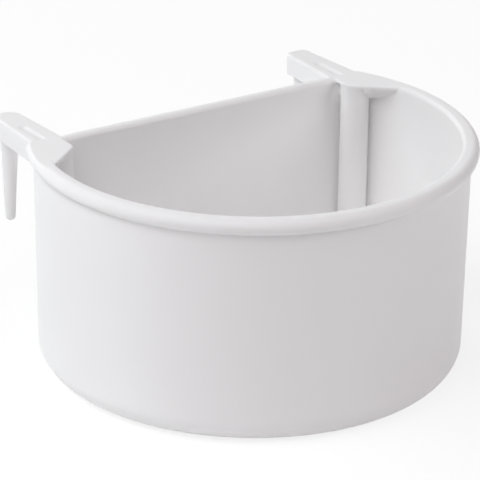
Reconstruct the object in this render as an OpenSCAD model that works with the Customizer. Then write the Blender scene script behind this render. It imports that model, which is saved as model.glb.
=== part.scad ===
// Hook-on seed cup: a half-round cup with a flat back and two hook arms.
// The real cup is one plastic moulding. Each node below is one feature of it,
// and the nodes meet face to face, without overlap.
// X runs along the back wall, Y points to the back and Z points up. The origin
// is on the underside, below the centre of the round front.

/* [Cup] */
// Width over the rim
cup_w = 100; // [84:0.5:140]
// Height from the underside to the top of the rim
cup_h = 53; // [42:0.5:80]
// Distance from the centre of the round front to the back face
back_y = 22.5; // [21:0.25:27]
// Thickness of the walls
wall = 2.2; // [1.6:0.1:2.8]
// Thickness of the floor
floor_t = 2.2; // [1.6:0.1:2.8]
// Radius of the outer bottom edge
edge_r = 5.8; // [3.6:0.1:7]
// How far the round front is set in at its foot, per side
foot_inset = 0.8; // [0.2:0.1:2]
// Diameter of the gate mark under the floor
gate_d = 5; // [3:0.5:8]
// Depth of that mark
gate_t = 0.5; // [0.2:0.1:1]

/* [Rim] */
// Half the height of the rim bead
rim_r = 1.8; // [1.4:0.05:2.2]
// How far the bead stands out from the wall
rim_out = 1.6; // [1:0.05:1.9]
// Rounding of the inner edge of the rim and the back wall
lip_r = 1.1; // [0.6:0.05:1.4]
// Rounding of the outer edge of the back wall
back_edge_r = 0.4; // [0.2:0.05:0.7]
// How much higher the bead is than the back wall and the arms
rim_step = 0.4; // [0.2:0.05:0.8]

/* [Hook arms] */
// Distance from the centre of the round front to the centre of the arm's tip
arm_y = 38.6; // [34:0.1:50]
// Width of the arm at the inner face of the back wall
arm_w = 8; // [7.4:0.1:8.4]
// Width of the arm at its tip
tip_w = 6.4; // [5.6:0.1:7.2]
// Thickness of the arm
arm_t = 5; // [3.8:0.1:6]
// Rounding of the arm's top edges
arm_edge_r = 0.6; // [0.3:0.05:0.9]
// Length of the shallow groove on top of the arm, from the back face outwards
groove_l = 8.4; // [5:0.2:9]
// Width of that groove
groove_w = 1.6; // [1:0.1:2.4]
// Depth of that groove
groove_d = 0.3; // [0.2:0.05:0.5]

/* [Pegs] */
// Length of the peg below the arm
peg_l = 19.6; // [12:0.1:26]
// Diameter of the peg under the arm
peg_d = 4.1; // [3.4:0.1:5]
// Diameter of the peg at its tip
peg_tip_d = 2.2; // [1.6:0.1:3]

/* [Columns] */
// Diameter of the round column in each back corner
column_d = 6.6; // [6:0.1:7.2]
// How far the column sinks into the round wall at its top
column_sink = 0.25; // [0.1:0.05:0.6]
// Thickness of the column's wall round its open channel
column_wall = 1.8; // [1.4:0.05:2.2]
// Radius of the fillet between the column and the back wall
column_fillet = 0.5; // [0.3:0.05:0.8]

/* [Hidden] */
$fn = 96;
// Overrun of the cuts
over = 1;
// Radii of the round front: rim, then wall outside and inside at its top
rim_R = cup_w / 2;
top_R = rim_R - rim_out;
// Heights: top of the base, underside of the rim, top and underside of the arms
base_z = edge_r;
rim_z = cup_h - 2 * rim_r;
arm_z = cup_h - rim_step;
under_z = arm_z - arm_t;
// Inner face of the back wall, and the radii of the column and its channel
inner_y = back_y - wall;
column_r = column_d / 2;
channel_r = column_r - column_wall;
tip_r = tip_w / 2;
// Angle between the steps of the arm's rounded top edge
edge_turn = 22.5;
// White plastic
plastic = [0.93, 0.93, 0.92];

// Points along an arc round c from angle a0 to a1, in equal steps
arc_steps = 8;
function arc(c, r, a0, a1) =
    [for (i = [0:arc_steps])
        let (a = a0 + (a1 - a0) * i / arc_steps)
            c + r * [cos(a), sin(a)]];

// Outer radius of the wall at height z, and the same with the wall taken off
function wall_R(z) = top_R - foot_inset * (1 - z / cup_h);
function bore_R(z) = wall_R(z) - wall;

// The column's centre: it touches the back wall and sinks a little into the
// round wall. The arm and its peg have the same centre line.
column_y = inner_y - column_r;
arm_x = sqrt(pow(bore_R(cup_h) + column_sink - column_r, 2) - pow(column_y, 2));
// Centre of the fillet between the column and the back wall. It touches the wall
// and bites a little into the column's round, so that the two rounds cross.
bite = 0.03;
fillet_x = sqrt(pow(column_r + column_fillet - bite, 2) - pow(column_r - column_fillet, 2));
fillet_y = inner_y - column_fillet;

// Outline of the arm seen from above, its sides and its tip drawn in by a margin
lean = asin((arm_w / 2 - tip_r) / (arm_y - inner_y));
module arm_outline(margin = 0) {
    half = arm_w / 2 - margin;
    r = tip_r - margin;
    translate([0, arm_y])
        circle(r = r);
    polygon([[half, inner_y],
             [r * cos(lean), arm_y + r * sin(lean)],
             [-r * cos(lean), arm_y + r * sin(lean)],
             [-half, inner_y]]);
}

// Space that the arm on side s takes, up to any height
module arm_space(s, top) {
    translate([s * arm_x, 0, under_z])
        linear_extrude(top - under_z)
            arm_outline();
}

// Outline of the open channel behind a column, up to the back face and past it
module channel_outline() {
    translate([0, column_y])
        circle(r = channel_r);
    translate([-channel_r, column_y])
        square([2 * channel_r, back_y - column_y + over]);
}

module channels(z0, z1) {
    for (s = [-1, 1])
        translate([s * arm_x, 0, z0])
            linear_extrude(z1 - z0)
                channel_outline();
}

// Outline of the round column, with the fillets that lead it into the back wall.
// It ends at the given depth.
module column_outline(end_y) {
    translate([0, column_y])
        circle(r = column_r);
    difference() {
        polygon([[0, column_y], [fillet_x, fillet_y], [fillet_x, end_y],
                 [-fillet_x, end_y], [-fillet_x, fillet_y]]);
        for (s = [-1, 1])
            translate([s * fillet_x, fillet_y])
                circle(r = column_fillet);
    }
}

// Upright post with that outline, on side s
module post(s, z0, z1, end_y) {
    translate([s * arm_x, 0, z0])
        linear_extrude(z1 - z0)
            column_outline(end_y);
}

// Space inside the round wall, up to any height, and straight above the wall's top
module inner_space() {
    cylinder(h = rim_z, r1 = bore_R(0), r2 = bore_R(rim_z));
    translate([0, 0, rim_z])
        cylinder(h = cup_h - rim_z, r = bore_R(rim_z));
}

// Upright section of a D-shaped form: flat below, its outer bottom edge rounded
function foot_section(reach, r, z0) =
    concat(arc([reach - r, z0 + r], r, -90, 0),
           [[reach, base_z + over], [0, base_z + over], [0, z0]]);

// D-shaped form standing on z0, with one rounding along its whole bottom edge
module foot_form(R, back, r, z0) {
    intersection() {
        rotate_extrude()
            polygon(foot_section(R, r, z0));
        union() {
            translate([-R, 0, 0])
                rotate([90, 0, 90])
                    linear_extrude(2 * R)
                        polygon(foot_section(back, r, z0));
            translate([-R, -R, z0])
                cube([2 * R, R, base_z + over - z0]);
        }
    }
}

// Floor with its rounded edge. The feet of the columns stand in its hollow and run
// into its walls.
module base() {
    R = wall_R(base_z);
    inner_r = edge_r - floor_t;
    color(plastic)
        difference() {
            foot_form(R, back_y, edge_r, 0);
            difference() {
                foot_form(R - wall, inner_y, inner_r, floor_t);
                for (s = [-1, 1])
                    post(s, 0, base_z + 2 * over, back_y);
            }
            translate([-R, -R, base_z])
                cube([2 * R, 2 * R, 2 * over]);
            channels(-over, base_z + over);
            translate([0, (back_y - rim_R) / 2, -over])
                cylinder(h = over + gate_t, d = gate_d);
        }
}

// Round front wall with its two back corners, from the base to the rim
module curved_wall() {
    color(plastic)
        difference() {
            round_form(base_z, rim_z, 0, 0);
            intersection() {
                round_form(base_z, rim_z, wall, over);
                translate([-rim_R, -rim_R, 0])
                    cube([cup_w, rim_R + inner_y, cup_h]);
            }
            translate([-rim_R, back_y, 0])
                cube([cup_w, rim_R, cup_h]);
            translate([-arm_x, 0, 0])
                cube([2 * arm_x, rim_R, cup_h]);
            for (s = [-1, 1])
                arm_space(s, cup_h);
            channels(base_z - over, cup_h);
        }
}

// Cone of the round front between two heights, drawn in by a margin
module round_form(z0, z1, margin, extra) {
    translate([0, 0, z0 - extra])
        cylinder(h = z1 - z0 + 2 * extra,
                 r1 = wall_R(z0 - extra) - margin, r2 = wall_R(z1 + extra) - margin);
}

// Section of the back wall: plain below, rounded along both top edges
function back_section() =
    concat([[inner_y, base_z], [back_y, base_z]],
           arc([back_y - back_edge_r, arm_z - back_edge_r], back_edge_r, 0, 90),
           arc([inner_y + lip_r, arm_z - lip_r], lip_r, 90, 180));

// Flat back wall between the two columns, with its rounded top
module back_wall() {
    color(plastic)
        difference() {
            rotate([90, 0, 90])
                translate([0, 0, -arm_x])
                    linear_extrude(2 * arm_x)
                        polygon(back_section());
            for (s = [-1, 1])
                arm_space(s, cup_h);
            channels(base_z - over, cup_h);
        }
}

// Section of the rim: half-round bead outside, rounded lip inside
function rim_section() =
    let (inner = bore_R(rim_z))
        concat([[inner, rim_z]],
               arc([rim_R - rim_r, rim_z + rim_r], rim_r, -90, 90),
               arc([inner + lip_r, cup_h - lip_r], lip_r, 90, 180));

// Rim bead round the front, ending against the two arms
module rim_bead() {
    color(plastic)
        difference() {
            rotate_extrude()
                polygon(rim_section());
            translate([-rim_R, back_y, 0])
                cube([cup_w, rim_R, cup_h + over]);
            translate([-arm_x, 0, 0])
                cube([2 * arm_x, rim_R, cup_h + over]);
            for (s = [-1, 1])
                arm_space(s, cup_h + over);
        }
}

// Round column from the base to the top of the arm, kept inside the round wall's
// inner face. Its channel is open behind and ends below the arm.
module column(s) {
    color(plastic)
        difference() {
            intersection() {
                post(s, base_z, arm_z, inner_y);
                inner_space();
            }
            channels(base_z - over, under_z);
        }
}

// Arm from the inner face of the back wall to its tip, with rounded top edges
// and a shallow groove along its top
module arm(s) {
    color(plastic)
        translate([s * arm_x, 0, under_z])
            difference() {
                hull()
                    for (a = [0:edge_turn:90])
                        linear_extrude(arm_t - arm_edge_r * (1 - sin(a)))
                            arm_outline(arm_edge_r * (1 - cos(a)));
                translate([0, 0, arm_t])
                    groove();
            }
}

// Groove with round ends, from the back face towards the arm's tip
module groove() {
    translate([0, 0, -groove_d])
        linear_extrude(over) {
            translate([-groove_w / 2, back_y])
                square([groove_w, groove_l]);
            for (y = [back_y, back_y + groove_l])
                translate([0, y])
                    circle(d = groove_w);
        }
}

// Tapered peg with a round tip, hanging from the end of the arm
module peg(s) {
    tip = peg_tip_d / 2;
    color(plastic)
        translate([s * arm_x, arm_y, under_z]) {
            translate([0, 0, -peg_l + tip])
                cylinder(h = peg_l - tip, r1 = tip, r2 = peg_d / 2);
            translate([0, 0, -peg_l + tip])
                sphere(r = tip);
        }
}

base();
curved_wall();
back_wall();
rim_bead();
column(-1);  // left_column
column(1);  // right_column
arm(-1);  // left_arm
arm(1);  // right_arm
peg(-1);  // left_peg
peg(1);  // right_peg
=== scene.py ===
# %% [markdown]
# This lesson dresses a hook-on seed cup for a bird cage. The real cup is one
# moulding in white plastic: a half-round cup with a flat back, a rolled bead
# round its front, two arms with pegs that hook over a cage bar, and a round
# post in each back corner.
#
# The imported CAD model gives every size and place. It could be shown as it is,
# but its curves are made of flat steps. So each of its ten pieces is modelled
# again here, at the same size, with rounder curves and softened edges.

import math

import bmesh
import bpy
from mathutils import Matrix, Vector


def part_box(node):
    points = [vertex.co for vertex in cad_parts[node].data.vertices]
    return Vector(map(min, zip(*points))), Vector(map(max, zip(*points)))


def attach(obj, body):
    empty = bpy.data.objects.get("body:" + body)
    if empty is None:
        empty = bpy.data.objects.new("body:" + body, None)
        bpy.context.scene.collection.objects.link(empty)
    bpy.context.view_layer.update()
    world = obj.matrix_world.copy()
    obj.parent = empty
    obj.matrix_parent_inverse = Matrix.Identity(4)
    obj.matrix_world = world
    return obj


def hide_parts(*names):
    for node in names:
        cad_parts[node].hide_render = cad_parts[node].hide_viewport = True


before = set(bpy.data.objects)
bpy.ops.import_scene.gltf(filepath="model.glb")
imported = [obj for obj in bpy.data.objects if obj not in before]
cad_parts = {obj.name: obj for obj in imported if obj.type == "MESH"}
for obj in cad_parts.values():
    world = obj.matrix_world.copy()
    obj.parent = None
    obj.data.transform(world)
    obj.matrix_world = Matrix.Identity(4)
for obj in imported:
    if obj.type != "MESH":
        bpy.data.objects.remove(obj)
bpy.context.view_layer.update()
print("nodes:", sorted(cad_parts))

# %% [markdown]
# The sizes come from the boxes of the CAD pieces. What a box can't say, such as
# the rounding of an edge, is written here once by its own name. The cup is
# modelled in millimetres, because cutting tools lose fine detail when a whole
# cup is only a tenth of a unit wide. Each piece is scaled to metres at the end.

# %% Sizes of the cup
mm = 1000


def box_in_mm(node):
    low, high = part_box(node)
    return Vector(low) * mm, Vector(high) * mm


base_high = box_in_mm("base")[1]
wall_high = box_in_mm("curved_wall")[1]
back_low, back_high = box_in_mm("back_wall")
bead_high = box_in_mm("rim_bead")[1]
post_low, post_high = box_in_mm("right_column")
arm_low, arm_high = box_in_mm("right_arm")
peg_low, peg_high = box_in_mm("right_peg")

inner_y, back_y = back_low.y, back_high.y
wall_t = back_y - inner_y
base_z, rim_z, top_z = base_high.z, wall_high.z, bead_high.z
round_low, round_high = base_high.x, wall_high.x
rim_radius = bead_high.x
bead_radius = (top_z - rim_z) / 2
arm_z, under_z = arm_high.z, arm_low.z
arm_x = (arm_low.x + arm_high.x) / 2
arm_half = (arm_high.x - arm_low.x) / 2
peg_y = (peg_low.y + peg_high.y) / 2
tip_radius = arm_high.y - peg_y
peg_radius = (peg_high.x - peg_low.x) / 2
post_y = (post_low.y + post_high.y) / 2
post_radius = (post_high.y - post_low.y) / 2

floor_t = 2.2
edge_spare = 0.004  # the bottom's rounding ends this much below the base's top
edge_radius = 5.8 - edge_spare
lip_radius = 1.1
back_edge_radius = 0.4
channel_radius = 1.49  # the slot behind a post, a hair narrower than the CAD's
hollow_radius = 0.2
peg_tip_radius = 1.1
peg_more = 0.45  # the photograph shows longer pegs than the CAD has
gate_y, gate_radius, gate_depth = -13.75, 2.5, 0.5
print("wall", round(wall_t, 2), "mm, arms at x", round(arm_x, 2), "mm")

# %% [markdown]
# A few values belong to the tools and not to the cup. A cutter reaches 1 mm
# beyond what it cuts, so that no cut ends on a surface. Corner points within
# a hair of each other are merged, and a point counts as lying on a cutting
# plane only when it is even nearer to it than that.

# %% Values of the tools
overrun = 1
far = 60  # beyond the cup on every side
hair = 0.0001
on_plane = 0.00001
spin_merge = 0.002
round_steps = 288

# %% [markdown]
# Nearly every step below works on chosen faces, edges or corner points. By
# hand they would be clicked; here they are chosen by where they are.

# %% Choosing parts of a piece
def clear_selection():
    if bpy.context.object and bpy.context.object.mode != "OBJECT":
        bpy.ops.object.mode_set(mode="OBJECT")
    bpy.ops.object.select_all(action="DESELECT")


def make_active(piece):
    clear_selection()
    piece.select_set(True)
    bpy.context.view_layer.objects.active = piece


def middle_of(mesh, part):
    if hasattr(part, "co"):
        return part.co
    if hasattr(part, "center"):
        return part.center
    ends = [mesh.vertices[i].co for i in part.vertices]
    return (ends[0] + ends[1]) / 2


def choose(piece, kind, wanted):
    """Goes to edit mode and chooses the corners, edges or faces that are wanted."""
    make_active(piece)
    bpy.ops.object.mode_set(mode="EDIT")
    bpy.ops.mesh.select_mode(type=kind)
    bpy.ops.mesh.select_all(action="DESELECT")
    bpy.ops.object.mode_set(mode="OBJECT")
    mesh = piece.data
    parts = {"VERT": mesh.vertices, "EDGE": mesh.edges, "FACE": mesh.polygons}[kind]
    count = 0
    for part in parts:
        if wanted(middle_of(mesh, part)):
            part.select = True
            count += 1
    bpy.ops.object.mode_set(mode="EDIT")
    return count


def near(a, b, reach=0.01):
    return abs(a - b) < reach


# %% [markdown]
# Every solid is looked at after it is made or cut. Its faces should point
# outwards, its volume should be what one expects, and each of its edges should
# have two faces. "Open 0" in the print means that all of them do.

# %% Checking and copying a piece
def face_outwards(piece):
    choose(piece, "FACE", lambda c: True)
    bpy.ops.mesh.normals_make_consistent(inside=False)
    bpy.ops.object.mode_set(mode="OBJECT")


def check(piece, step):
    """Prints how full a piece is, and how many edges haven't exactly two faces."""
    form = bmesh.new()
    form.from_mesh(piece.data)
    loose = sum(1 for edge in form.edges if len(edge.link_faces) != 2)
    volume = round(form.calc_volume(), 1)
    form.free()
    faces = len(piece.data.polygons)
    print(step, piece.name, faces, "faces,", volume, "mm3, open", loose)


def copy_of(piece, name):
    twin = piece.copy()
    twin.data = piece.data.copy()
    twin.name = name
    bpy.context.collection.objects.link(twin)
    return twin


def to_left(piece, name):
    """Mirrors a piece made on the right, and turns its faces outwards again."""
    choose(piece, "FACE", lambda c: True)
    bpy.ops.transform.mirror(
        constraint_axis=(True, False, False), center_override=(0, 0, 0)
    )
    bpy.ops.object.mode_set(mode="OBJECT")
    piece.name = name
    face_outwards(piece)
    return piece


# %% [markdown]
# A round wall, a bead and a rounded floor are all one section turned about an
# axis. The section starts as a plane on edge, gets its corners rounded, and is
# spun. The flat back is then cut straight through the turned shape.

# %% Sections that are spun or pulled
def section_plane(name, x0, x1, z0, z1):
    """A plane on edge at y = 0, between two radii and two heights."""
    clear_selection()
    bpy.ops.mesh.primitive_plane_add(
        size=1, location=((x0 + x1) / 2, 0, (z0 + z1) / 2), rotation=(math.pi / 2, 0, 0)
    )
    piece = bpy.context.object
    piece.name = name
    piece.scale = (x1 - x0, z1 - z0, 1)
    bpy.ops.object.transform_apply(location=True, rotation=True, scale=True)
    return piece


def move_corner(piece, x, z, by):
    """Moves the corner at one point of a section."""
    choose(piece, "VERT", lambda c: near(c.x, x) and near(c.z, z))
    bpy.ops.transform.translate(value=by)
    bpy.ops.object.mode_set(mode="OBJECT")


def round_corner(piece, x, z, radius, steps=12):
    """Rounds the corner at one point of a section."""
    choose(piece, "VERT", lambda c: near(c.x, x) and near(c.z, z))
    bpy.ops.mesh.bevel(
        offset=radius, offset_type="OFFSET", segments=steps, affect="VERTICES"
    )
    bpy.ops.object.mode_set(mode="OBJECT")


def spin_round(piece):
    """Turns the outline of a section once about the upright axis and closes it."""
    choose(piece, "FACE", lambda c: True)
    bpy.ops.mesh.delete(type="ONLY_FACE")
    if choose(piece, "EDGE", lambda c: near(c.x, 0)):
        bpy.ops.mesh.delete(type="EDGE")
    bpy.ops.mesh.select_mode(type="EDGE")
    bpy.ops.mesh.select_all(action="SELECT")
    bpy.ops.mesh.spin(
        steps=round_steps,
        angle=math.tau,
        center=(0, 0, 0),
        axis=(0, 0, 1),
        dupli=False,
    )
    bpy.ops.mesh.select_all(action="SELECT")
    bpy.ops.mesh.remove_doubles(threshold=spin_merge)
    bpy.ops.object.mode_set(mode="OBJECT")
    face_outwards(piece)
    check(piece, "spun")


def pull_along_x(piece, x0, x1):
    """Turns a section from across the cup to along it, and pulls it from x0 to x1."""
    choose(piece, "FACE", lambda c: True)
    bpy.ops.transform.rotate(
        value=-math.pi / 2, orient_axis="Z", center_override=(0, 0, 0)
    )
    bpy.ops.transform.translate(value=(x0, 0, 0))
    bpy.ops.mesh.extrude_region_move(
        TRANSFORM_OT_translate={"value": (x1 - x0, 0, 0)}
    )
    bpy.ops.object.mode_set(mode="OBJECT")
    face_outwards(piece)
    check(piece, "pulled")


# %% [markdown]
# Solids are made from each other in two ways: a plane cuts one and caps it, or
# two are added, subtracted or intersected.

# %% Cutting and combining solids
def box_between(name, low, high):
    """A plain block between its lowest and its highest corner."""
    clear_selection()
    middle = [(a + b) / 2 for a, b in zip(low, high)]
    bpy.ops.mesh.primitive_cube_add(size=1, location=middle)
    block = bpy.context.object
    block.name = name
    block.scale = [b - a for a, b in zip(low, high)]
    bpy.ops.object.transform_apply(location=True, rotation=True, scale=True)
    return block


def cut_plane(piece, point, normal):
    """Cuts a piece by a plane, drops what lies on the normal's side, and caps it."""
    choose(piece, "FACE", lambda c: True)
    bpy.ops.mesh.bisect(
        plane_co=point,
        plane_no=normal,
        use_fill=True,
        clear_outer=True,
        threshold=on_plane,
    )
    bpy.ops.object.mode_set(mode="OBJECT")


def combine(piece, other, how, keep_other=False):
    """Adds, subtracts or intersects another solid, and merges doubled corners."""
    make_active(piece)
    change = piece.modifiers.new("combine", "BOOLEAN")
    change.operation = how
    change.object = other
    change.solver = "EXACT"
    bpy.ops.object.modifier_apply(modifier=change.name)
    if not keep_other:
        bpy.data.objects.remove(other)
    choose(piece, "FACE", lambda c: True)
    bpy.ops.mesh.remove_doubles(threshold=hair)
    bpy.ops.object.mode_set(mode="OBJECT")
    check(piece, how.lower())


# %% [markdown]
# The floor of the cup, with its big soft edge, could be bevelled from a D cut
# out of a disc, but the sharp back corners are tighter than that bevel. So it
# is made as the maker's tool makes it: one turned form and one pulled form,
# and what both share is the floor. The hollow above it is made the same way.

# %% Floor, from D-shaped blocks
def d_block(name, radius, back, edge, z0, z1):
    """A block with a round front and a flat back, its bottom edge rounded."""
    turned = section_plane(name, 0, radius, z0, z1)
    round_corner(turned, radius, z0, edge)
    spin_round(turned)
    pulled = section_plane(name + "_pulled", -2 * radius, back, z0, z1)
    round_corner(pulled, back, z0, edge)
    pull_along_x(pulled, -2 * radius, 2 * radius)
    combine(turned, pulled, "INTERSECT")
    return turned


too_high = base_z + overrun
floor = d_block("cup_floor", round_low, back_y, edge_radius, 0, too_high)
hollow = d_block(
    "hollow",
    round_low - wall_t,
    inner_y,
    edge_radius - floor_t,
    floor_t,
    too_high + overrun,
)
combine(floor, hollow, "DIFFERENCE")
cut_plane(floor, (0, 0, base_z), (0, 0, 1))

# %% [markdown]
# The round wall leans out a little towards the top, so that the cup leaves its
# mould. Its section is a plane whose top is pushed outwards. The wall is spun
# all the way round, and the flat back cuts it later.

# %% Round wall
def spun_ring(name, x0, x1, z0, z1, lean=0, corners=()):
    """A ring from a section that may lean and have some corners rounded."""
    ring = section_plane(name, x0, x1, z0, z1)
    if lean:
        move_corner(ring, x0, z1, (lean, 0, 0))
        move_corner(ring, x1, z1, (lean, 0, 0))
    for x, z, radius in corners:
        round_corner(ring, x, z, radius)
    spin_round(ring)
    return ring


round_wall = spun_ring(
    "round_wall",
    round_low - wall_t,
    round_low,
    base_z,
    rim_z,
    lean=round_high - round_low,
)

# %% [markdown]
# The bead is the same kind of ring. Its outer corners are rounded until they
# all but meet in a half circle, and its inner corner is the soft lip of the
# cup.

# %% Rim bead
lip_x = round_high - wall_t
bead_rounding = 0.998 * bead_radius
bead = spun_ring(
    "rolled_bead",
    lip_x,
    rim_radius,
    rim_z,
    top_z,
    corners=[
        (rim_radius, rim_z, bead_rounding),
        (rim_radius, top_z, bead_rounding),
        (lip_x, top_z, lip_radius),
    ],
)

# %% [markdown]
# The back wall is a section pulled along the cup, with its top rounded on both
# sides. Each end of it lies inside the round wall, where the two will meet.

# %% Back wall
def back_slab(name, x0, x1, z0):
    slab = section_plane(name, inner_y, back_y, z0, arm_z)
    round_corner(slab, inner_y, arm_z, lip_radius)
    round_corner(slab, back_y, arm_z, back_edge_radius, steps=6)
    pull_along_x(slab, x0, x1)
    return slab


inner_reach = math.sqrt((round_high - wall_t) ** 2 - inner_y**2)
outer_reach = math.sqrt(round_low**2 - back_y**2)
reach = (inner_reach + outer_reach) / 2
back = back_slab("flat_back", -reach, reach, base_z)

# %% [markdown]
# Posts, arms and the slots behind the posts are all bars. A bar with one round
# end starts as a disc. Half of it is cut off, and the flat side that this
# leaves is pulled out to the bar's other end and made wider or narrower there.
# A bar with one blunt end starts as a square with rounded corners.

# %% Bars
def round_bar(name, x, y, radius, z0, z1, sides=96):
    clear_selection()
    bpy.ops.mesh.primitive_cylinder_add(
        vertices=sides, radius=radius, depth=z1 - z0, location=(x, y, (z0 + z1) / 2)
    )
    piece = bpy.context.object
    piece.name = name
    bpy.ops.object.transform_apply(location=True, rotation=True, scale=True)
    return piece


def blunt_bar(name, x, y, half, z0, z1, corner):
    """A square bar whose upright edges are rounded."""
    bar = box_between(name, (x - half, y - half, z0), (x + half, y + half, z1))
    choose(bar, "EDGE", lambda c: near(c.z, (z0 + z1) / 2))
    bpy.ops.mesh.bevel(offset=corner, segments=16, affect="EDGES")
    bpy.ops.object.mode_set(mode="OBJECT")
    return bar


def half_round_bar(name, x, y, radius, z0, z1, ends, aside=0, corner=None):
    """A bar with its round or blunt end at y, pulled on through the other ends.

    Each of the ends is a place along y and a half width. The first pull also
    moves the bar aside.
    """
    if corner:
        bar = blunt_bar(name, x, y, radius, z0, z1, corner)
    else:
        bar = round_bar(name, x, y, radius, z0, z1)
    away = 1 if ends[0][0] > y else -1
    cut_plane(bar, (x, y, 0), (0, away, 0))
    here, half = y, radius
    for there, next_half in ends:
        choose(bar, "FACE", lambda c: near(c.y, here))
        bpy.ops.mesh.extrude_region_move(
            TRANSFORM_OT_translate={"value": (aside, there - here, 0)}
        )
        x, aside = x + aside, 0
        bpy.ops.transform.resize(
            value=(next_half / half, 1, 1), center_override=(x, there, 0)
        )
        here, half = there, next_half
    bpy.ops.object.mode_set(mode="OBJECT")
    face_outwards(bar)
    return bar


# %% [markdown]
# The hardest place is each back corner, where the arm, the post, the back wall,
# the round wall and the bead all run together. On the real cup they are one
# piece of plastic with soft hollows between them. Bevels can't blend five forms
# at once, so the five are added up, and a voxel remesh gives them one even skin
# that a few rounds of smoothing then soften like a mould does.
#
# The corner is kept from corner_x, corner_y and corner_z on. It is first built
# a little larger, because the skin is rounded off where its forms end.

# %% Size of the blended corner
corner_x, corner_y, corner_z = 33, 3, 46
corner_spare = 3
stub_z = corner_z - corner_spare
skin = 0.16
overlap = 0.05

# %% [markdown]
# An arm is a bar that gets wider from its tip to the back wall. Its top edges
# are softened, and it has a shallow groove along its top. How wide the tip is,
# how far it lies aside and whether it is blunt can differ between the arms.

# %% Arm with its groove
arm_edge = 0.6
arm_root = 0.3
groove_y, groove_l, groove_half, groove_d = back_y, 8.4, 0.8, 0.25


def arm_bar(name, tip, aside, corner=None):
    """The arm, from its tip to just behind the back wall's inner face."""
    root_y = inner_y + arm_root
    bar = half_round_bar(
        name,
        arm_x - aside,
        peg_y,
        tip,
        under_z,
        arm_z,
        [(back_y, arm_half), (root_y, post_radius)],
        aside,
        corner,
    )
    choose(
        bar,
        "EDGE",
        lambda c: near(c.z, arm_z)
        and not any(near(c.y, y) for y in (peg_y, back_y, root_y)),
    )
    bpy.ops.mesh.bevel(offset=arm_edge, segments=5, affect="EDGES")
    bpy.ops.object.mode_set(mode="OBJECT")
    return bar


def groove_cutter(x):
    low, high = arm_z - groove_d, arm_z + overrun
    end_y = groove_y + groove_l
    cutter = half_round_bar(
        "groove", x, groove_y, groove_half, low, high, [(end_y, groove_half)]
    )
    end = round_bar("groove_end", x, end_y, groove_half, low, high)
    combine(cutter, end, "UNION")
    return cutter


# %% [markdown]
# Seen from above, the top of a corner isn't open between the post and the round
# wall. A web fills it behind a slanted line that touches the post's front. The
# web is thin along that line and gets thicker further in, as its underside
# slopes down.

# %% Web in the corner
web_t, web_deep = 0.9, 4
web_slope = math.radians(45)
web_turn = math.radians(51.6)
web_in_bead = 1.2


def corner_web():
    away = Vector((-math.cos(web_turn), -math.sin(web_turn), 0))
    touch = Vector((arm_x, post_y, 0)) + post_radius * away
    web = box_between(
        "web",
        (touch.x, 0, arm_z - web_deep),
        (rim_radius, inner_y + overrun, arm_z),
    )
    cut_plane(web, touch, away)
    under = touch + Vector((0, 0, arm_z - web_t))
    down = Vector((0, 0, -math.cos(web_slope)))
    cut_plane(web, under, math.sin(web_slope) * away + down)
    drum = round_bar(
        "drum", 0, 0, lip_x + web_in_bead, stub_z, top_z, sides=round_steps
    )
    combine(web, drum, "INTERSECT")
    return web


# %% [markdown]
# The bead is a little higher than the arm. On its way to the back it sinks to
# the arm's level, so its top is cut by a plane that slopes down. Past that
# place the plane cuts too deep, and a low block fills the bead up to the arm's
# level again, nearly out to its round side.

# %% Bead and walls of the corner
bead_sunk_y = 12
bead_fall_l = 7
bead_fall = (top_z - arm_z) / bead_fall_l
bead_end_gap, bead_end_deep, bead_end_in = 0.5, 2, 0.5


def sector_of(ring, name):
    """The part of a ring that lies in the right corner."""
    part = copy_of(ring, name)
    cut_plane(part, (0, corner_y - corner_spare, 0), (0, -1, 0))
    cut_plane(part, (0, back_y, 0), (0, 1, 0))
    cut_plane(part, (0, 0, stub_z), (0, 0, -1))
    cut_plane(part, (corner_x - corner_spare, 0, 0), (-1, 0, 0))
    return part


def sinking_bead():
    bead_sector = sector_of(bead, "bead_sector")
    cut_plane(bead_sector, (0, bead_sunk_y, arm_z), (0, bead_fall, 1))
    return bead_sector


def level_bead_end():
    bead_end = box_between(
        "bead_end",
        (arm_x, bead_sunk_y + bead_end_gap, arm_z - bead_end_deep),
        (rim_radius, back_y, arm_z),
    )
    drum = round_bar(
        "drum", 0, 0, rim_radius - bead_end_in, stub_z, top_z, sides=round_steps
    )
    combine(bead_end, drum, "INTERSECT")
    return bead_end


def fill_beside_post():
    """A thin block that closes the gap between the post's top and the back wall."""
    return box_between(
        "beside_post",
        (arm_x - post_radius, post_y, arm_z - web_t),
        (arm_x, inner_y + overrun, arm_z),
    )


# %% [markdown]
# All these forms are added up, skinned and smoothed. Near the places where the
# corner will be cut off, the smoothing is weaker, so that the corner still fits
# the plain walls that go on from there.

# %% One blended corner, on the right
soften_rounds, soften_by = 22, 0.5
least_soft, soft_reach = 0.3, 2


def ease(distance, over):
    """0 at a cut, 1 at the distance over from it, with a soft start and end."""
    t = max(0.0, min(1.0, distance / over))
    return t * t * (3 - 2 * t)


def skin_over(corner):
    remesh = corner.modifiers.new("skin", "REMESH")
    remesh.mode = "VOXEL"
    remesh.voxel_size = skin
    bpy.ops.object.modifier_apply(modifier=remesh.name)


def soften(corner):
    softness = corner.vertex_groups.new(name="softness")
    for v in corner.data.vertices:
        inside = min(v.co.x - corner_x, v.co.z - corner_z)
        if v.co.y < inner_y:
            inside = min(inside, v.co.y - corner_y)
        share = least_soft + (1 - least_soft) * ease(inside, soft_reach)
        softness.add([v.index], share, "REPLACE")
    smooth = corner.modifiers.new("soften", "SMOOTH")
    smooth.factor = soften_by
    smooth.iterations = soften_rounds
    smooth.vertex_group = softness.name
    bpy.ops.object.modifier_apply(modifier=smooth.name)


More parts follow.
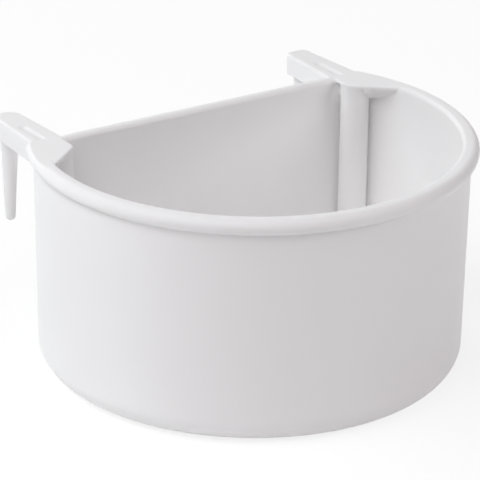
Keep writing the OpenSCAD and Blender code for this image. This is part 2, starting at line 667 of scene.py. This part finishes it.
def corner_moulding(groove_shift, tip, aside, blunt=None):
    corner = arm_bar("corner", tip, aside, blunt)
    combine(corner, groove_cutter(arm_x + groove_shift), "DIFFERENCE")
    post_top = round_bar("post_top", arm_x, post_y, post_radius, stub_z, arm_z)
    combine(corner, post_top, "UNION")
    slab = back_slab("slab", corner_x - corner_spare, reach, stub_z)
    combine(corner, slab, "UNION")
    combine(corner, sector_of(round_wall, "wall_sector"), "UNION")
    combine(corner, sinking_bead(), "UNION")
    combine(corner, corner_web(), "UNION")
    combine(corner, fill_beside_post(), "UNION")
    combine(corner, level_bead_end(), "UNION")
    skin_over(corner)
    soften(corner)
    check(corner, "skin")
    cut_plane(corner, (corner_x, 0, 0), (-1, 0, 0))
    cut_plane(corner, (0, corner_y, 0), (0, -1, 0))
    cut_plane(corner, (0, 0, corner_z), (0, 0, -1))
    return corner


# %% [markdown]
# The blended corner is then shared out, so that every feature stays a piece of
# its own. A strip beside the post belongs to the back wall. What lies over and
# behind the back wall is the arm. The post takes what lies inside the round
# wall, and the rest belongs to the bead and the round wall. The cuts run just
# inside the plastic, never along a surface. The values say how far each cut
# lies from the surface or joint in its name.

# %% Sharing out a corner
strip_gap = 0.9
behind_face = 0.35
below_arm = 0.3
round_post = 1.1
behind_lip = 0.12
joint_drop = 0.02

share_x = arm_x - post_radius - strip_gap
share_y = inner_y + behind_face
root_z = under_z - below_arm
joint_z = rim_z - joint_drop


def post_space():
    """A round space about the post that ends just behind the round wall's lip."""
    space = round_bar(
        "post_space", arm_x, post_y, post_radius + round_post, stub_z, top_z + overrun
    )
    drum = round_bar(
        "drum",
        0,
        0,
        lip_x + behind_lip,
        stub_z - overrun,
        top_z + 2 * overrun,
        sides=2 * round_steps,
    )
    combine(space, drum, "INTERSECT")
    return space


def share_corner(corner):
    parts = {}
    parts["back"] = copy_of(corner, "back_part")
    cut_plane(parts["back"], (share_x, 0, 0), (1, 0, 0))
    cut_plane(corner, (share_x, 0, 0), (-1, 0, 0))

    arm_space = box_between("arm_space", (0, share_y, root_z), (far, far, far))
    for name, space in (("arm", arm_space), ("post", post_space())):
        parts[name] = copy_of(corner, name + "_part")
        combine(parts[name], space, "INTERSECT", keep_other=True)
        combine(corner, space, "DIFFERENCE")

    parts["bead"] = copy_of(corner, "bead_part")
    cut_plane(parts["bead"], (0, 0, joint_z), (0, 0, -1))
    cut_plane(corner, (0, 0, joint_z), (0, 0, 1))
    parts["wall"] = corner
    for part in parts.values():
        check(part, "share")
    return parts


# %% [markdown]
# Both corners are made on the right, and the left one is then mirrored. The
# grooves lie to the left of both arms' centre lines, so the left corner gets
# its groove shifted the other way.
#
# The right arm's tip follows the photograph: it is blunt, a little narrower
# than in the CAD model, and a little aside. The left arm's tip is outside the
# picture, so it stays a plain half circle.

# %% Both corners
groove_aside = 0.8
tip_less, tip_aside, tip_corner = 0.2, 0.35, 2.0

right = share_corner(
    corner_moulding(-groove_aside, tip_radius - tip_less, tip_aside, blunt=tip_corner)
)
left = share_corner(corner_moulding(groove_aside, tip_radius, 0))
for name, part in left.items():
    to_left(part, "left_" + name)

# %% [markdown]
# Now the long, plain stretches of the wall, the bead and the back are cut to
# end where the blended corners begin, and are joined to them.
#
# Two solids whose faces fall on each other don't combine cleanly. So the round
# wall ends a hundredth of a millimetre behind the back wall, the back wall is
# cut by a copy of the round wall that starts lower, and the stretches reach a
# little way into the corners.

# %% Plain stretches
wall_more = 0.01

cut_plane(bead, (0, corner_y + overlap, 0), (0, 1, 0))
for parts in (right, left):
    combine(bead, parts["bead"], "UNION")

cut_plane(round_wall, (0, back_y + wall_more, 0), (0, 1, 0))
tall_wall = copy_of(round_wall, "tall_wall")
choose(tall_wall, "VERT", lambda c: near(c.z, base_z))
bpy.ops.transform.translate(value=(0, 0, -overrun))
bpy.ops.object.mode_set(mode="OBJECT")
combine(back, tall_wall, "DIFFERENCE")
for side in (-1, 1):
    x0, x1 = sorted((side * (corner_x + overlap), side * far))
    beside = box_between("beside", (x0, 0, corner_z + overlap), (x1, far, far))
    combine(back, beside, "DIFFERENCE")
above = box_between(
    "above", (-far, corner_y + overlap, corner_z + overlap), (far, far, far)
)
combine(round_wall, above, "DIFFERENCE")
for parts in (right, left):
    combine(round_wall, parts["wall"], "UNION")
    combine(back, parts["back"], "UNION")

# %% [markdown]
# Below the blended corner a post is a plain round bar that stands on the floor,
# led into the back wall by a small hollow on either side. A block between post
# and wall, scooped out by a thin bar on both sides, gives these hollows.

# %% Posts
def post_shaft():
    shaft_z = corner_z + overlap
    shaft = round_bar("post", arm_x, post_y, post_radius, floor_t, shaft_z)
    gap = post_radius - hollow_radius
    side = math.sqrt((post_radius + hollow_radius) ** 2 - gap**2)
    scoop_y = inner_y - hollow_radius
    web = box_between(
        "web", (arm_x - side, scoop_y, floor_t), (arm_x + side, inner_y, shaft_z)
    )
    for s in (-1, 1):
        scoop = round_bar(
            "scoop", arm_x + s * side, scoop_y, hollow_radius, 0, top_z, sides=48
        )
        combine(web, scoop, "DIFFERENCE")
    combine(shaft, web, "UNION")
    combine(shaft, round_wall, "DIFFERENCE", keep_other=True)
    return shaft


right_post = post_shaft()
left_post = to_left(copy_of(right_post, "left_post"), "left_post")
combine(right_post, right["post"], "UNION")
combine(left_post, left["post"], "UNION")

# %% [markdown]
# A post is open behind: a slot runs up into it from below, so that its plastic
# is no thicker than the walls. The same cutter makes both slots. After the
# right one it is mirrored to the left.

# %% Slots behind the posts
slot = half_round_bar(
    "slot",
    arm_x,
    post_y,
    channel_radius,
    -overrun,
    under_z,
    [(back_y + overrun, channel_radius)],
)
for post in (right_post, left_post):
    for piece in (post, round_wall, back, floor):
        combine(piece, slot, "DIFFERENCE", keep_other=True)
    to_left(slot, "left_slot")
bpy.data.objects.remove(slot)

# %% [markdown]
# Plastic is pressed into a mould through a small gate. It leaves a shallow
# round mark under the floor.

# %% Gate mark
gate = round_bar("gate", 0, gate_y, gate_radius, -overrun, gate_depth)
combine(floor, gate, "DIFFERENCE")

# %% [markdown]
# A peg is a tapered pin that hangs from the arm. Its lower end is rounded by
# a bevel nearly as wide as the pin is there.

# %% Pegs
peg_tip_rounding = 0.92 * peg_tip_radius


def tapered_pin(name, x):
    clear_selection()
    length = under_z - peg_low.z + peg_more
    bpy.ops.mesh.primitive_cone_add(
        vertices=64,
        radius1=peg_tip_radius,
        radius2=peg_radius,
        depth=length,
        location=(x, peg_y, under_z - length / 2),
    )
    pin = bpy.context.object
    pin.name = name
    bpy.ops.object.transform_apply(location=True, rotation=True, scale=True)
    choose(pin, "EDGE", lambda c: near(c.z, under_z - length))
    bpy.ops.mesh.bevel(offset=peg_tip_rounding, segments=8, affect="EDGES")
    bpy.ops.object.mode_set(mode="OBJECT")
    return pin


right_peg = tapered_pin("right_peg_pin", arm_x)
left_peg = tapered_pin("left_peg_pin", -arm_x)

# %% [markdown]
# All of it is one white plastic. Up close such plastic isn't one flat colour:
# it is a little cloudy, its gloss varies, and its surface has a faint ripple.

# %% White plastic
def white_plastic():
    plastic = bpy.data.materials.new("white_plastic")
    plastic.use_nodes = True
    nodes, links = plastic.node_tree.nodes, plastic.node_tree.links
    shader = nodes["Principled BSDF"]
    shader.inputs["IOR"].default_value = 1.49
    shader.inputs["Specular IOR Level"].default_value = 0.2
    place = nodes.new("ShaderNodeTexCoord")

    cloud = nodes.new("ShaderNodeTexNoise")
    cloud.inputs["Scale"].default_value = 45
    cloud.inputs["Detail"].default_value = 3
    tint = nodes.new("ShaderNodeValToRGB")
    tint.color_ramp.elements[0].position = 0.3
    tint.color_ramp.elements[0].color = (0.94, 0.937, 0.934, 1)
    tint.color_ramp.elements[1].position = 0.7
    tint.color_ramp.elements[1].color = (0.958, 0.956, 0.953, 1)
    links.new(place.outputs["Object"], cloud.inputs["Vector"])
    links.new(cloud.outputs["Fac"], tint.inputs["Fac"])
    links.new(tint.outputs["Color"], shader.inputs["Base Color"])

    sheen = nodes.new("ShaderNodeMapRange")
    sheen.inputs["To Min"].default_value = 0.38
    sheen.inputs["To Max"].default_value = 0.48
    links.new(cloud.outputs["Fac"], sheen.inputs["Value"])
    links.new(sheen.outputs["Result"], shader.inputs["Roughness"])

    ripple = nodes.new("ShaderNodeTexNoise")
    ripple.inputs["Scale"].default_value = 110
    ripple.inputs["Detail"].default_value = 2
    bump = nodes.new("ShaderNodeBump")
    bump.inputs["Strength"].default_value = 0.06
    bump.inputs["Distance"].default_value = 0.0002
    links.new(place.outputs["Object"], ripple.inputs["Vector"])
    links.new(ripple.outputs["Fac"], bump.inputs["Height"])
    links.new(bump.outputs["Normal"], shader.inputs["Normal"])
    return plastic


# %% [markdown]
# Each piece now gets the plastic, is scaled from millimetres to metres, and is
# shaded smooth except at sharp edges. Then it takes the place of its CAD node.

# %% Dressing the nodes
plastic = white_plastic()
smooth_angle = math.radians(32)
pieces = {
    "base": floor,
    "curved_wall": round_wall,
    "back_wall": back,
    "rim_bead": bead,
    "left_column": left_post,
    "right_column": right_post,
    "left_arm": left["arm"],
    "right_arm": right["arm"],
    "left_peg": left_peg,
    "right_peg": right_peg,
}
for node, piece in pieces.items():
    face_outwards(piece)
    piece.data.materials.clear()
    piece.data.materials.append(plastic)
    choose(piece, "FACE", lambda c: True)
    bpy.ops.transform.resize(value=(1 / mm, 1 / mm, 1 / mm), center_override=(0, 0, 0))
    bpy.ops.object.mode_set(mode="OBJECT")
    bpy.ops.object.shade_smooth_by_angle(angle=smooth_angle)
    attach(piece, "root")
    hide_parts(node)

# %% [markdown]
# The cup stands on a pale floor in front of plain white. Both look white to the
# camera and in gloss, but they light the cup at other levels, or the cup would
# drown in their light: the white background gives none, and the floor throws
# back nearly all that falls on it.

# %% Floor and background
def seen_or_not(tree, seen, unseen, surface):
    """Uses one shader where it is seen or mirrored, and another for the light."""
    nodes, links = tree.nodes, tree.links
    path = nodes.new("ShaderNodeLightPath")
    either = nodes.new("ShaderNodeMath")
    either.operation = "MAXIMUM"
    links.new(path.outputs["Is Camera Ray"], either.inputs[0])
    links.new(path.outputs["Is Glossy Ray"], either.inputs[1])
    which = nodes.new("ShaderNodeMixShader")
    links.new(either.outputs[0], which.inputs[0])
    links.new(unseen.outputs[0], which.inputs[1])
    links.new(seen.outputs[0], which.inputs[2])
    links.new(which.outputs[0], surface)


def white_world():
    world = bpy.data.worlds.new("studio")
    bpy.context.scene.world = world
    world.use_nodes = True
    nodes = world.node_tree.nodes
    dark = nodes["Background"]
    dark.inputs["Strength"].default_value = 0
    white = nodes.new("ShaderNodeBackground")
    white.inputs["Strength"].default_value = 1
    white.inputs["Color"].default_value = (1, 1, 1, 1)
    seen_or_not(world.node_tree, white, dark, nodes["World Output"].inputs["Surface"])


def floor_paint():
    paint = bpy.data.materials.new("floor_paint")
    paint.use_nodes = True
    nodes, links = paint.node_tree.nodes, paint.node_tree.links
    matt = nodes["Principled BSDF"]
    matt.inputs["Base Color"].default_value = (0.24, 0.24, 0.24, 1)
    matt.inputs["Roughness"].default_value = 0.9
    matt.inputs["Specular IOR Level"].default_value = 0
    lift = nodes.new("ShaderNodeEmission")
    lift.inputs["Strength"].default_value = 0.8
    both = nodes.new("ShaderNodeAddShader")
    links.new(matt.outputs[0], both.inputs[0])
    links.new(lift.outputs[0], both.inputs[1])
    bounce = nodes.new("ShaderNodeBsdfDiffuse")
    bounce.inputs["Color"].default_value = (0.95, 0.95, 0.95, 1)
    output = nodes["Material Output"]
    seen_or_not(paint.node_tree, both, bounce, output.inputs["Surface"])
    return paint


white_world()
clear_selection()
bpy.ops.mesh.primitive_circle_add(
    vertices=96, radius=3, fill_type="NGON", location=(0, 0, 0)
)
ground = bpy.context.object
ground.name = "pale_floor"
ground.data.materials.append(floor_paint())

# %% [markdown]
# The light is a soft tent of six lamps, all of one size and at one distance.
# Most of it comes from the left, so the left of the cup is brightest and the
# front falls off into a light grey. Each lamp has a turn about the cup and
# a rise above the floor, both in degrees, and then its power and its colour.

# %% Lamps
lamp_distance, lamp_size = 1.25, 0.6
lamp_aim = Vector((0, 0, 0.03))


def soft_lamp(name, turn, rise, watts, colour):
    """A square lamp, aimed at the cup."""
    around, up = math.radians(turn), math.radians(rise)
    away = Vector(
        (math.cos(up) * math.cos(around), math.cos(up) * math.sin(around), math.sin(up))
    )
    bpy.ops.object.light_add(type="AREA", location=lamp_aim + lamp_distance * away)
    lamp = bpy.context.object
    lamp.name = name
    lamp.data.size = lamp_size
    lamp.data.energy = watts
    lamp.data.color = colour
    lamp.rotation_euler = away.to_track_quat("Z", "Y").to_euler()


soft_lamp("left_back", 145, 45, 4.8, (0.87, 0.96, 1))
soft_lamp("left", 180, 38, 1.7, (1, 1, 1))
soft_lamp("left_high", 180, 55, 3.1, (1, 1, 1))
soft_lamp("left_front", 215, 45, 3.4, (1, 0.91, 0.94))
soft_lamp("right_front", 315, 30, 4.9, (1, 0.95, 0.97))
soft_lamp("back", 90, 25, 4, (1, 0.95, 0.94))

# %% [markdown]
# The camera stands where the photograph was taken from, to the left of the cup
# and above it. Its place is in metres and its turns are in degrees. It was
# fitted to the photograph, and the best lens is 3250 pixels long in a picture
# that is 480 pixels wide.

# %% Camera
camera_place = (-0.3722, -0.55427, 0.31203)
yaw, pitch, roll = (math.radians(a) for a in (-33.67, -23.07, 0.84))
sensor, lens_pixels, picture_pixels = 36, 3250, 480

turn = (
    Matrix.Rotation(yaw, 3, "Z")
    @ Matrix.Rotation(math.pi / 2 + pitch, 3, "X")
    @ Matrix.Rotation(roll, 3, "Z")
)
bpy.ops.object.camera_add(location=camera_place, rotation=turn.to_euler())
camera = bpy.context.object
camera.data.sensor_width = sensor
camera.data.lens = lens_pixels * sensor / picture_pixels
bpy.context.scene.camera = camera
bpy.context.scene.view_settings.view_transform = "Standard"
